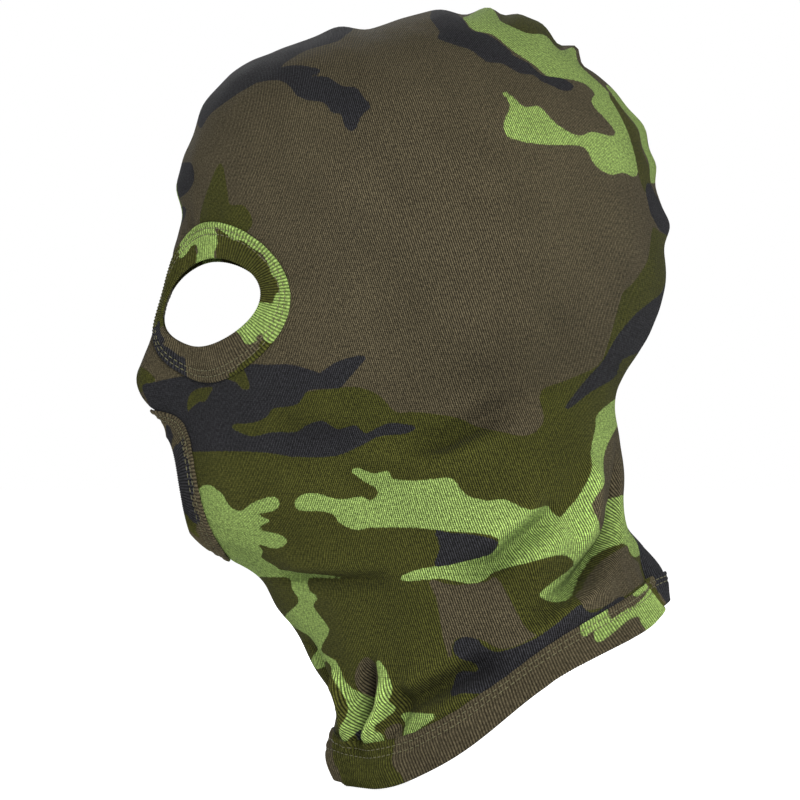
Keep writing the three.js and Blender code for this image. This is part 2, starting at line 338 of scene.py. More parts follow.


# The print, drawn in side view
printShapes = {
    "olive": [
        [(-88, 26), (-84, 41), (-79, 51), (-76, 38), (-75, 34), (-69, 33), (-66, 25), (-76, 20)],
        [(35, 112), (37, 118), (52, 116), (64, 106), (60, 101), (57, 103), (54, 105), (45, 105.5),
         (38, 108.5)],
        [(80, 81), (84, 78), (88, 71), (92, 66), (94, 58), (97, 50), (98, 45), (98, 40), (95, 39), (91.5, 47),
         (86, 66), (83, 73)],
        [(97, 25), (94, 12), (88, 2), (84, -2), (80, -16), (77, -24), (73, -31), (62, -37), (51, -42),
         (52, -54), (45, -60), (33, -58), (28, -56), (15, -52), (0, -50), (-8, -50), (-14, -44), (-20, -41),
         (-28, -40), (-44, -42), (-60, -46), (-90, -60), (-104, -70), (-104, -118), (-70, -140), (-40, -190),
         (-10, -215), (40, -200), (90, -165), (112, -140), (112, -120), (100, -104), (90, -90), (88, -66),
         (90, -48), (98, -22), (112, 0), (112, 20), (101, 23)],
        [(-119, -33), (-114, -31), (-107, -36), (-108, -40), (-116, -42)],
    ],
    "earth": [
        [(6, -118), (15, -120), (28, -119), (33, -117), (39, -127), (45, -138), (48, -141), (36, -146),
         (26, -142), (16, -142), (15, -150), (11, -140), (9, -127)],
        [(84, -46), (79, -58), (76, -66), (75, -73), (74, -79), (70, -87), (71, -93), (76, -99.5),
         (77.5, -96), (77, -89), (80, -86), (87, -83), (86, -75), (82.5, -55)],
        [(87, -105), (83, -107), (78, -112), (70, -121), (66, -125), (68, -131), (80, -128), (92, -121),
         (95, -119), (94, -113), (88, -109)],
        [(-24, -155), (-20, -150), (-14, -158), (-13, -166), (-19, -173), (-24, -162)],
        [(-12, -180), (-8, -177), (-5, -183), (-9, -186)],
    ],
    "green": [
        [(20, 113), (27, 116), (33, 114), (36, 110), (46, 105.5), (55, 105), (60, 100), (66, 101.5), (69, 96),
         (72, 91), (80, 83), (81, 79), (85, 70), (89, 59), (91, 50), (91.5, 47), (89, 45.5), (85, 47),
         (80, 46), (75, 48), (72, 51), (70, 55), (66, 57.5), (50, 57.5), (38, 60), (35.5, 64), (36, 68),
         (38, 72), (37, 76), (35, 78), (37, 79), (42, 74), (45, 72.5), (50, 73), (57, 66), (66, 61.5),
         (72, 63.5), (80, 62), (82, 64), (77, 70), (74, 73), (72, 77), (74, 80.5), (68, 85), (54, 86.5),
         (50, 90), (40, 97), (32, 104), (24, 106), (21, 110)],
        [(80, 86), (86, 75), (92, 67), (94, 60), (97, 53), (98.5, 44), (104, 48), (100, 66), (90, 80)],
        [(-86, -80), (-79, -83), (-77, -86), (-74, -89.5), (-70, -90), (-66, -87), (-58, -84.5), (-55, -87),
         (-57, -90), (-62, -91), (-64, -92), (-59, -94), (-62, -96), (-63, -98), (-56, -99.5), (-52, -102),
         (-54, -104.5), (-58, -105.5), (-64, -104), (-62, -107), (-63, -110), (-57, -113.5), (-54, -116),
         (-38, -117), (-32, -118.5), (-46, -119.5), (-44, -123), (-40, -126), (-42, -130), (-36, -138),
         (-36, -141), (-39, -148), (-32, -152), (-27, -161), (-22, -166), (-20, -172), (-24, -180),
         (-26, -184), (-28, -192), (-31, -192), (-29, -185), (-26, -175), (-26, -168), (-30, -159),
         (-36, -152), (-40, -156), (-43, -154), (-43, -144), (-52, -135), (-48, -128), (-51, -123),
         (-55, -119), (-70, -117), (-90, -114), (-98, -104), (-96, -92)],
        [(-14, -151), (-10, -156), (-8, -162), (-9, -167), (-8, -171), (-14, -178), (-12, -183),
         (-16, -189), (-22, -184), (-22, -179), (-15, -170), (-13, -160), (-16, -153)],
        [(-7, -173), (4, -172), (10, -173.5), (0, -180), (-4, -183.5), (-5, -178)],
        [(-26, -74), (-23, -73), (-17, -75), (-11, -74), (-9, -77), (0, -78), (10, -77.5), (15, -77.5),
         (19, -82), (22, -84.5), (30, -86), (36, -85.5), (42, -88.5), (46, -90), (54, -88), (57, -90),
         (60, -92.5), (63, -89), (66, -85), (69, -76), (70, -66), (72, -57), (72, -53), (75, -48),
         (85, -38), (86, -46), (82.5, -55), (86, -75), (87, -85), (90, -95), (94, -104), (93, -109),
         (89, -109), (86.5, -104.5), (83, -104.5), (79, -108), (75, -113), (66, -123.5), (60, -126.5),
         (51, -124.5), (55, -120), (64, -114), (66.5, -111), (60, -108), (46, -111), (33, -114.5),
         (28, -118), (22, -119.5), (10, -117.5), (-3, -118.5), (-6, -117), (2, -113.5), (20, -110.5),
         (33, -105), (30, -100), (10, -98), (0, -97), (-18, -97), (-24, -98), (-31, -95), (-33, -92),
         (-38, -90.5), (-47, -90), (-49, -87), (-46, -83.5), (-40, -83), (-31, -85.5), (-22, -84.5),
         (-18, -86), (-15, -82), (-22, -77.5)],
    ],
    "black": [
        [(-90, 72), (-85, 84), (-72, 94), (-58, 104), (-40, 112), (-27, 113), (-29, 108), (-33, 104),
         (-45, 100), (-52, 95), (-58, 89), (-66, 83), (-76, 77), (-84, 71), (-88, 66)],
        [(-66, 84), (-58, 90), (-50, 92), (-40, 90), (-39, 88), (-44, 86.5), (-36, 86), (-30, 82),
         (-24, 81), (-21, 77), (-18, 73), (-22, 69), (-24, 64), (-26.5, 63), (-29, 66), (-30, 70),
         (-34, 71), (-37, 75), (-43, 76), (-48, 78), (-51, 82), (-56, 85)],
        [(-104, 42), (-100, 50), (-92, 52), (-90, 46), (-92, 41), (-98, 37), (-104, 38)],
        [(-104, 33), (-95, 34), (-95, 30), (-99, 24), (-106, 20)],
        [(6, 113), (9, 119), (16, 117), (20, 111), (23, 106), (30, 104), (38, 98), (40, 95), (46, 92),
         (50, 88), (53, 86.5), (60, 86), (65, 83), (64, 81), (60, 80.5), (56, 82), (51, 84), (48, 86.5),
         (42, 87), (35, 91), (29, 91.5), (26, 94), (22, 97), (16, 99), (9, 102), (10, 105), (8, 109)],
        [(95, 42), (99, 43), (104, 34), (109, 26), (106, 22), (101, 23.5), (98, 28), (96, 33)],
        [(106, 8), (104, -2), (101, -9), (96, -12), (92, -20), (82, -27), (79, -34), (71, -41), (63, -48),
         (61, -49), (61, -47), (67, -39), (75, -29), (81, -19), (88, -10), (92, -6), (98, 0), (101, 5)],
        [(-112, -40), (-107, -38), (-98, -36), (-84, -34), (-69, -31), (-58, -31), (-50, -31),
         (-41, -33.5), (-38, -34), (-32, -30), (-24, -27.5), (-20, -28), (-23, -32), (-28, -38),
         (-31, -40.5), (-40, -41), (-44, -42), (-46, -45), (-49, -47.5), (-58, -49), (-60, -52),
         (-66, -54.5), (-74, -55), (-75, -56.5), (-67, -60), (-58, -58.5), (-49, -59), (-44, -56),
         (-38, -54), (-33, -57), (-30, -58), (-24, -56), (-20, -59), (-14, -56), (-9, -54.5), (0, -56),
         (-4, -59), (-14, -60), (-22, -64), (-32, -68), (-48, -68.5), (-62, -66.5), (-78, -66),
         (-93, -66), (-104, -60), (-108, -50)],
        [(8, -98), (14, -99), (22, -99.5), (32, -102), (33, -105), (30, -108), (20, -110.5), (8, -112.5),
         (10, -105)],
        [(16, -143), (20, -141), (25, -142), (28, -145), (34, -147), (46, -143), (54, -138), (60, -133),
         (65, -129), (68, -131), (73, -131.5), (83, -125.5), (85, -128), (74, -137), (58, -148),
         (42, -158), (30, -164), (20, -164), (16, -165), (14, -163), (15, -158), (18, -155), (24, -155),
         (24, -152), (19, -150), (16, -147)],
        [(-25, -181), (-21, -183), (-17, -188), (-20, -190), (-24, -187)],
    ],
    "island": [  # gaps in the black where the colour under it shows
        [(-93, -50), (-93, -45), (-90, -41), (-82, -40), (-84, -43), (-86, -46), (-88, -46), (-91, -48)],
        [(-78, -36), (-74, -33), (-70, -32), (-67, -40), (-70, -41), (-73, -38)],
    ],
}
rightPrint = {  # the other panel is cut from another place in the cloth, with black at the back of its neck
    "shift": (18, -34), "turn": 24, "centre": (5, -30),
    "napeBlack": [(85, -97), (92, -90), (104, -98), (114, -126), (108, -142), (94, -134), (84, -126),
                  (80, -112)],
}


def printLoops():
    loops = {}
    for colour, shapes in printShapes.items():
        loops[colour] = [sideToCloth(smoothLoop(shape)) for shape in shapes]
    return loops


def printDistances(cloth, loops):
    field = {}
    for colour, shapes in loops.items():
        field[colour] = np.minimum.reduce([loopDistance(cloth, loop) for loop in shapes])
    olive = np.maximum(field["olive"], -field["earth"])
    # the islands show olive, whatever lies under the black there
    olive = np.minimum(olive, field["island"])
    green = np.maximum(field["green"], -field["earth"])
    black = np.maximum(field["black"], -field["island"])
    return {"olive": olive, "green": green, "black": black}


# Gathers along the crown seam, as (y, z, height, width); the seam pulls the cloth up and down there.
gathers = [
    (-100, 43, 1.6, 6), (-101, 31, -1.3, 5), (-90, 62, -1.2, 6), (-84, 75, 1.2, 6), (-58, 97, -0.8, 6),
    (-31, 109, 2.6, 8), (-20, 107, -2.0, 8), (-6, 111, 0.4, 7), (9, 115, 0.8, 7), (20, 113, -2.2, 6),
    (30, 115, 1.6, 5.5), (36, 112, -1.3, 4), (42, 112, 1.4, 5), (51, 109, 1.4, 6), (60, 102, -2.6, 5),
    (67, 101, 2.6, 4.5), (71, 95, -1.8, 4.5), (80, 84, 0.4, 6), (87, 75, -1.0, 5), (93, 66, 1.2, 5),
    (94, 58, -0.8, 4), (98, 51, 1.4, 5), (98, 42, -1.6, 5), (104, 27, 2.0, 6), (103, 16, -0.8, 6),
]
gatherFade = 19  # how far from the seam the gathers reach
# Broad pulls in the cloth: place, height, reach, reach sideways
pulls = [
    ((0, -34, -194), 8.0, 14, 14),  # the front of the hem turns out like a lip
    ((0, -36, -170), -5.5, 12, 12),  # the throat is drawn in above it
    ((0, -56, -130), 3.0, 11, 14),
    ((0, 80, -56), 4.5, 30, 30),  # the nape is spanned, not followed
    ((0, 92, -93), -5.0, 12, 14),
    ((6, 99, -118), -3.5, 12, 10),
    ((46, 66, -112), -3.5, 20, 20),  # hollow between the nape and the hem
    ((-44, 62, -108), -3.0, 18, 18),
    ((56, 22, -168), 2.0, 26, 26),
    ((-18, 98, -118), 11.0, 16, 13),  # the wearer's right stands further back at the hem
    ((0, -22, 111), -6.0, 30, 44),  # the crown is held down by its seam
    ((0, -52, 102), -2.4, 20, 40),
    ((0, 74, 91), -5.6, 24, 38),
    ((0, 99, 45), -2.8, 24, 36),
    ((0, 95, -14), 5.0, 27, 36),
]
# Folds: height (negative for a valley) and width of the cross-section, and points in side view
folds = [
    (-4.2, 5, [(-4, -64), (10, -62), (20, -57), (30, -52), (50, -43)]),
    (2.2, 6, [(-30, -70), (-4, -70), (12, -70), (24, -65), (40, -57)]),
    (-1.6, 4, [(-34, -76), (-14, -75), (0, -72)]),
    (-6.5, 4.4, [(14, -116), (33, -111), (40, -104), (50, -96), (60, -88)]),
    (3.2, 6, [(24, -104), (40, -96), (54, -84)]),
    (3.2, 6, [(44, -112), (56, -106), (64, -96)]),
    (-8.0, 4.4, [(81, -66), (82, -78), (82, -92), (80, -103), (74, -112), (68, -119), (58, -127),
                 (46, -135)]),
    (1.2, 6, [(88, -82), (91, -96), (92, -108)]),
    (3.6, 6, [(70, -66), (72, -82), (71, -97), (65, -107)]),
    (2.4, 4, [(76, -118), (66, -126), (54, -134)]),
    (3.0, 6, [(34, -148), (54, -137), (72, -126), (84, -116)]),
    (-4.0, 3.2, [(-58, -118), (-45, -119), (-26, -119), (-8, -118)]),
    (1.8, 6, [(-56, -111), (-40, -112), (-20, -111)]),
    (-1.0, 4, [(12, -116), (28, -112)]),
    (-6.0, 4.2, [(-8, -172), (0, -167), (12, -160), (26, -153), (40, -150)]),
    (2.6, 6, [(-6, -163), (8, -156), (22, -148)]),
    (2.0, 4, [(4, -176), (16, -168), (30, -160)]),
    (-6.5, 3.6, [(-18, -150), (-20, -164), (-22, -176), (-24, -187)]),
    (4.8, 4, [(-12, -154), (-12, -168), (-17, -180), (-18, -188)]),
    (4.4, 4, [(-34, -154), (-28, -168), (-27, -186)]),
    (-3.0, 3.4, [(-5, -160), (-5, -172), (-9, -182)]),
    (-2.4, 4.4, [(-46, -142), (-39, -156), (-34, -172)]),
    (-1.6, 6, [(-60, -58), (-40, -60), (-20, -61)]),
    (1.4, 7, [(-58, -78), (-40, -79), (-20, -76)]),
]


def foldPaths():
    paths = []
    for height, width, path in folds:
        paths.append((sideToCloth(smoothLoop(path, steps=5, closed=False)), height, width))
    return paths


def waves(points, seed, size):
    # smooth random swells: a few sine waves in fixed directions
    draw = np.random.default_rng(seed)
    total = np.zeros(points.shape[:-1])
    for _ in range(7):
        direction = draw.normal(size=3)
        direction *= 2 * math.pi / (size * draw.uniform(0.7, 1.5) * np.linalg.norm(direction))
        total += np.sin(points @ direction + draw.uniform(0, 2 * math.pi))
    return total / 7


reliefSpec = {
    "swell": 1.4, "swellSize": 52, "neckSwell": 2.0, "neckSwellSize": 32,
    "ripple": 0.3, "rippleSize": 14, "rightDrift": (7, 6), "foldDepth": 1.35,
    "rightShallower": 0.4, "gatherDepth": 1.4, "neckBottom": -150, "neckTop": -95,
}


def creases(points, paths):
    # the folds and the gathers at the seam; the folds fall a little differently on the wearer's right
    height = np.zeros(len(points))
    drift = smoothStep(-points[:, 0], 5, 35)
    cloth = unroll(points) + drift[:, None] * reliefSpec["rightDrift"]
    deep = reliefSpec["foldDepth"] * (1 - reliefSpec["rightShallower"] * drift)
    for curve, depth, width in paths:
        low, high = curve.min(0) - 3 * width, curve.max(0) + 3 * width
        close = np.flatnonzero(((cloth > low) & (cloth < high)).all(1))
        if len(close):
            gap, travelled = segmentDistance(cloth[close], curve[:-1], curve[1:])
            taper = smoothStep(travelled, 0, 0.3) * (1 - smoothStep(travelled, 0.7, 1))
            height[close] += deep[close] * depth * np.exp(-(gap / width) ** 2) * (0.15 + 0.85 * taper)
    width = np.abs(points[:, 0])
    nearSeam = np.exp(-(width / gatherFade) ** 1.6)
    for y, z, lift, spread in gathers:
        offset = np.hypot(points[:, 1] - y, points[:, 2] - z)
        height += reliefSpec["gatherDepth"] * lift * np.exp(-(offset / spread) ** 2) * nearSeam
    return height


def relief(points, paths):
    # height of the cloth along the normal, in millimetres
    height = creases(points, paths)
    height += reliefSpec["swell"] * waves(points, 11, reliefSpec["swellSize"])
    height += reliefSpec["ripple"] * waves(points, 5, reliefSpec["rippleSize"])
    inNeck = 1 - smoothStep(points[:, 2], reliefSpec["neckBottom"], reliefSpec["neckTop"])
    height += reliefSpec["neckSwell"] * inNeck * waves(points, 31, reliefSpec["neckSwellSize"])
    for place, lift, reach, sideReach in pulls:
        offset = (points - np.array(place)) / (sideReach, reach, reach)
        height += lift * np.exp(-(offset ** 2).sum(axis=1))
    return height


seamGrooves = [(1.1, 1.3), (0.5, 3.5)]  # depth and width: the stitched line, and the dip beside it


def seamGroove(points):
    width = np.abs(points[:, 0])
    return -sum(depth * np.exp(-(width / reach) ** 2) for depth, reach in seamGrooves)


puckers = {"ringHeight": 0.35, "ringCount": 23, "ringStart": 1.1, "ringFade": 0.45,
           "hemHeight": 0.5, "hemCount": 41, "hemFade": 9}
bandHold = {"left": 0.12, "start": 1.0, "end": 2.2}  # how much relief is left at a band, and its reach


def clothHeight(points, paths):
    # the relief, dying out where the eye and mouth bands hold the cloth, and the puckers beside the bands
    damping = np.ones(len(points))
    small = np.zeros(len(points))
    mirrored = np.abs(points[:, :1]) * (1, 0, 0) + points * (0, 1, 1)
    for ring in (eyeRing, mouthRing):
        angle, across = ringPlace(ring, mirrored)
        free = smoothStep(across, bandHold["start"], bandHold["end"])
        damping *= bandHold["left"] + (1 - bandHold["left"]) * free
        past = np.maximum(across - puckers["ringStart"], 0)
        beside = smoothStep(across, 0.95, puckers["ringStart"]) * np.exp(-past / puckers["ringFade"])
        small += puckers["ringHeight"] * np.cos(angle * puckers["ringCount"] + 2 * np.sin(angle * 3)) * beside
    fromHem = points - hemCentre
    turn = np.arctan2(points[:, 0], fromHem @ aheadNeck + neckMiddle(0))
    above = fromHem @ upNeck + hemDropAt(turn) - hemHeight
    beside = smoothStep(above, -1, 1.5) * np.exp(-np.maximum(above, 0) / puckers["hemFade"])
    small += puckers["hemHeight"] * np.sin(turn * puckers["hemCount"] + 2.5 * np.sin(turn * 4)) * beside
    return relief(points, paths) * damping + small


def newPiece(name, bm, materials):
    mesh = bpy.data.meshes.new(name)
    bm.to_mesh(mesh)
    bm.free()
    for material in materials:
        mesh.materials.append(material)
    mesh.shade_smooth()
    piece = bpy.data.objects.new(name, mesh)
    bpy.context.scene.collection.objects.link(piece)
    return piece


def gridOf(columns, rows):
    # an operator's grid, with each vertex's place across and up it, from 0 to 1
    bm = bmesh.new()
    bmesh.ops.create_grid(bm, x_segments=columns, y_segments=rows, size=1)
    flat = np.array([v.co for v in bm.verts])
    return bm, (flat[:, 0] + 1) / 2, (flat[:, 1] + 1) / 2


def movePoints(bm, points):
    for vertex, point in zip(bm.verts, points * mm):
        vertex.co = point


def keepLayer(bm, name, values):
    layer = bm.verts.layers.float.new(name)
    for vertex, value in zip(bm.verts, values):
        vertex[layer] = value


def knitMap(bm, across, along):
    # a UV map in metres: across the wales, and along them
    layer = bm.loops.layers.uv.new("knit")
    bm.verts.index_update()
    for face in bm.faces:
        for loop in face.loops:
            i = loop.vert.index
            loop[layer].uv = (across[i] * mm, along[i] * mm)


# the wales lean back, more towards the nape and over the crown
waleLean = {"start": -60, "level": -20, "rate": 0.001, "lean": 0.26, "crownLean": 0.08}


def waleCoordinate(cloth):
    y, z = cloth[:, 0] - waleLean["start"], cloth[:, 1]
    fan = 1 + waleLean["rate"] * np.maximum(waleLean["level"] - z, 0)
    lean = waleLean["lean"] * z + waleLean["crownLean"] * np.maximum(z - waleLean["level"], 0)
    return np.where(y > 0, y / fan, y) + lean, z


panelSpec = {"columns": 190, "neckRows": 112, "crownRows": 104, "thickness": 0.7, "seamEdge": 0.12,
             "crowding": 0.28}


def panelAngles(u):
    # the columns stand closer together over the face
    crowding = panelSpec["crowding"]
    return np.radians(180 * ((1 - crowding) * u + crowding * u * u))


def makePanel(name, side, loops, paths, materials):
    spec = panelSpec
    rows = spec["neckRows"] + spec["crownRows"]
    bm, u, v = gridOf(spec["columns"], rows)
    split = spec["neckRows"] / rows
    angle = panelAngles(u)
    below = np.clip(1 - v / split, 0, 1)  # 1 at the hem, 0 at the fan's level
    level = panelEdge * hemHeight - fanHeight
    neckRow = level * below + (hemRow(angle, panelEdge) - level) * smoothStep(below, 0.45, 1)
    row = np.where(v <= split, neckRow, 90 * (v - split) / (1 - split))
    rest = hoodPoints(row, angle)
    rest[:, 0] = np.maximum(rest[:, 0], 0)
    cloth = unroll(rest)
    normals = formNormals(rest)
    height = clothHeight(rest * (side, 1, 1), paths) + seamGroove(rest)
    points = rest + normals * height[:, None]
    points[:, 0] = np.maximum(points[:, 0], spec["seamEdge"])
    printed = cloth
    if side < 0:
        turn = math.radians(rightPrint["turn"])
        spin = np.array(((math.cos(turn), -math.sin(turn)), (math.sin(turn), math.cos(turn))))
        centre = np.array(rightPrint["centre"])
        printed = (cloth - centre) * (-1, 1) @ spin.T + centre + rightPrint["shift"]
    distances = printDistances(printed, loops)
    if side < 0:
        patch = loopDistance(cloth, sideToCloth(smoothLoop(rightPrint["napeBlack"])))
        distances["black"] = np.minimum(distances["black"], patch)
    inHole = np.zeros(len(rest), bool)
    for ring in (eyeRing, mouthRing):
        angle, across = ringPlace(ring, rest)
        inHole |= across < panelEdge
        edge = (across >= panelEdge) & (across < panelEdge + 0.16)
        points[edge] = ringPoints(ring, angle[edge], panelEdge)
        points[edge, 0] = np.maximum(points[edge, 0], spec["seamEdge"])
    points[:, 0] *= side
    movePoints(bm, points)
    for colour, values in distances.items():
        keepLayer(bm, colour, values)
    # the height of the folds and gathers, kept for the painted shade and painted highlight in the cloth's
    # colour
    keepLayer(bm, "crease", creases(rest * (side, 1, 1), paths))
    acrossWales, alongWales = waleCoordinate(cloth)
    knitMap(bm, acrossWales, alongWales)
    bm.verts.ensure_lookup_table()
    bmesh.ops.delete(bm, geom=[bm.verts[i] for i in np.flatnonzero(inHole)], context="VERTS")
    bmesh.ops.remove_doubles(bm, verts=bm.verts, dist=0.02 * mm)
    if side < 0:
        bmesh.ops.reverse_faces(bm, faces=bm.faces)
    piece = newPiece(name, bm, materials)
    shell = piece.modifiers.new("cloth", "SOLIDIFY")
    shell.thickness = spec["thickness"] * mm
    shell.offset = -1
    shell.material_offset = 1
    shell.material_offset_rim = 1
    return piece


# Bands: a flat tube of double rib, with rounded edges and two sunk stitch rows
bandSpec = {
    "low": 0.05, "top": 1.35, "ribPitch": 1.35, "ribHeight": 0.2, "groove": 0.45, "grooveWidth": 0.045,
    "foldEdge": (-0.02, 0.05), "sewnEdge": (0.98, 0.03),  # where a rounded edge starts, and its bulge
    "patchCorner": 2.5,
}


def bandProfile():
    low, top = bandSpec["low"], bandSpec["top"]
    roll = (top - low) / 2
    middle = (top + low) / 2
    foldStart, foldBulge = bandSpec["foldEdge"]
    sewnStart, sewnBulge = bandSpec["sewnEdge"]
    points = []  # place across, height, and how much the ribs show
    for turn in np.radians(np.linspace(-70, 70, 6)):
        points.append((foldStart - foldBulge * math.cos(turn), middle + roll * math.sin(turn), 1.0))
    for across in (0.04, 0.12, 0.22, 0.32, 0.42, 0.52, 0.58, 0.62, 0.65, 0.68, 0.72, 0.76, 0.8, 0.83, 0.86,
                   0.9, 0.94):
        sunk = sum(math.exp(-((across - place) / bandSpec["grooveWidth"]) ** 2) for place in stitchRows)
        points.append((across, top - bandSpec["groove"] * sunk, 1.0 - 0.4 * sunk))
    for turn in np.radians(np.linspace(60, -60, 4)):
        points.append((sewnStart + sewnBulge * math.cos(turn), middle + roll * math.sin(turn) * 0.8, 0.8))
    for across in (0.85, 0.6, 0.35, 0.12):
        points.append((across, low, 0.3))
    return np.array(points)


bandPrints = {
    # colour: (first angle, last angle, first place across, last place across), 0 degrees at the outer corner
    "eye": {
        "green": [(72, 98, -0.3, 1.2), (90, 122, 0.45, 1.2), (56, 80, 0.8, 1.2), (-10, 60, 0.68, 1.2),
                  (-56, -16, -0.3, 0.55), (-41, -4, 0.45, 1.2)],
        "olive": [(-18, 72, -0.3, 0.66), (30, 72, 0.4, 0.84), (97, 196, -0.3, 0.62), (120, 196, 0.3, 1.2),
                  (-80, -41, 0.84, 1.2)],
        "black": [(190, 238, 0.42, 1.2), (188, 212, 0.15, 1.2)],
    },
    "mouth": {
        "green": [],
        "olive": [(-60, -28, -0.3, 0.5), (150, 190, 0.3, 1.2), (-110, -80, -0.3, 1.2)],
        "black": [(-34, 44, -0.3, 0.78), (52, 78, -0.3, 0.45), (108, 140, 0.2, 1.2), (-170, -136, -0.3, 0.8)],
    },
    "hem": {
        "green": [(126, 140, 0.6, 1.2), (130, 168, 0.34, 0.72), (150, 168, -0.3, 0.6), (154, 166, 0.88, 1.2),
                  (300, 318, 0.2, 1.2)],
        "olive": [(7, 41, -0.3, 1.2), (168, 179, -0.3, 1.2), (236, 268, -0.3, 1.2)],
        "black": [(181, 226, -0.3, 1.2), (330, 346, -0.3, 0.7)],
    },
}


def bandPrint(prints, angle, across, radius, width):
    # signed distances to rounded patches given by angle and place across the band
    degrees = np.degrees(angle)
    wobble = 1.6 * np.sin(angle * 7 + across * 5) + 1.1 * np.sin(angle * 17 - across * 9)
    distances = {}
    for colour, patches in prints.items():
        nearest = np.full(len(angle), printMargin)
        for first, last, inner, outer in patches:
            centre, half = (first + last) / 2, math.radians(last - first) / 2
            turn = np.abs((degrees - centre + 180) % 360 - 180)
            sideGap = (np.radians(turn) - half) * radius
            edgeGap = (np.abs(across - (inner + outer) / 2) - (outer - inner) / 2) * width
            corner = bandSpec["patchCorner"]
            outside = np.hypot(np.maximum(sideGap + corner, 0), np.maximum(edgeGap + corner, 0)) - corner
            inside = np.minimum(np.maximum(sideGap, edgeGap) + corner, 0)
            nearest = np.minimum(nearest, outside + inside)
        distances[colour] = nearest + wobble * 0.5
    return distances


def makeBand(name, place, prints, size, side, materials, paths):
    # place(angle, across) gives points on the form; size is (mean radius, band width)
    radius, width = size
    profile = bandProfile()
    ribs = int(round(2 * math.pi * radius / bandSpec["ribPitch"]))
    columns, rows = ribs * 4, len(profile)
    bm, u, v = gridOf(columns, rows)
    pick = np.round(v * rows).astype(int) % rows
    angle = u * 2 * math.pi
    across, height, ribbed = profile[pick].T
    base = place(angle, across)
    swing = np.cos(angle * ribs)
    height = height + bandSpec["ribHeight"] * ribbed * (swing - 0.5) * (height > bandSpec["low"] + 0.3)
    height = height + clothHeight(base * (side, 1, 1), paths)
    points = base + formNormals(base) * height[:, None]
    points[:, 0] *= side
    movePoints(bm, points)
    for colour, values in bandPrint(prints, angle, across, radius, width).items():
        keepLayer(bm, colour, values)
    knitMap(bm, angle * ribs / (2 * math.pi) * bandSpec["ribPitch"], across * width)
    bmesh.ops.remove_doubles(bm, verts=bm.verts, dist=0.01 * mm)
    bmesh.ops.recalc_face_normals(bm, faces=bm.faces)
    return newPiece(name, bm, materials)


# Threads: each stitch is a small round bead drawn out along its run
threadSpec = {"radius": 0.24, "dash": 2.1, "gap": 0.85, "looperStep": 3.0}


def addStitch(bm, start, end, radius):
    start, end = Vector(start) * mm, Vector(end) * mm
    run = end - start
    turn = run.to_track_quat("Z", "Y").to_matrix().to_4x4()
    stretch = Matrix.Diagonal((1, 1, run.length / (2 * radius * mm) * 1.04, 1))
    matrix = Matrix.Translation((start + end) / 2) @ turn @ stretch
    bmesh.ops.create_uvsphere(bm, u_segments=7, v_segments=5, radius=radius * mm, matrix=matrix)


def evenAngles(place, across, spacing):
    # angles round a closed run, evenly spaced along its length
    angle = np.linspace(0, 2 * math.pi, 721)
    points = place(angle, np.full(721, across))
    travelled = np.concatenate(([0], np.cumsum(np.linalg.norm(np.diff(points, axis=0), axis=1))))
    count = int(round(travelled[-1] / spacing))
    return lambda k: np.interp(np.asarray(k) / count * travelled[-1], travelled, angle), count


def makeStitchRow(name, place, across, side, materials, paths):
    pitch = threadSpec["dash"] + threadSpec["gap"]
    angleAt, count = evenAngles(place, across, pitch)
    starts = angleAt(np.arange(count))
    ends = angleAt(np.arange(count) + threadSpec["dash"] / pitch)
    height = bandSpec["top"] - bandSpec["groove"] + 0.12
    bm = bmesh.new()
    runs = []
    for angles in (starts, ends):
        base = place(angles, np.full(count, across))
        level = height + clothHeight(base * (side, 1, 1), paths)
        runs.append((base + formNormals(base) * level[:, None]) * (side, 1, 1))
    for start, end in zip(*runs):
        addStitch(bm, start, end, threadSpec["radius"])
    return newPiece(name, bm, materials)


def makeLooper(name, place, side, materials, paths):
    outer, inner = stitchRows
    angleAt, count = evenAngles(place, (outer + inner) / 2, threadSpec["looperStep"])
    k = np.arange(2 * count + 1) / 2
    angles = angleAt(k)
    across = np.where(np.arange(2 * count + 1) % 2 == 0, inner, outer)
    base = place(angles, across)
    level = -panelSpec["thickness"] - 0.3 + clothHeight(base * (side, 1, 1), paths)
    points = (base + formNormals(base) * level[:, None]) * (side, 1, 1)
    bm = bmesh.new()
    for start, end in zip(points[:-1], points[1:]):
        addStitch(bm, start, end, threadSpec["radius"] * 0.9)
    return newPiece(name, bm, materials)


overlockSpec = {"width": 4, "thickness": 0.9, "depth": 1.9, "stitchStep": 1.7,
                "step": 1.6, "sides": 12, "unevenness": 0.12}


def seamRun(profile, spacing):
    rows, angles = np.array(profile, float).T
    points = hoodPoints(rows, angles)
    travelled = np.concatenate(([0], np.cumsum(np.linalg.norm(np.diff(points, axis=0), axis=1))))
    at = np.arange(0, travelled[-1], spacing)
    run = np.column_stack([np.interp(at, travelled, points[:, i]) for i in range(3)])
    run[:, 0] = 0
    return run


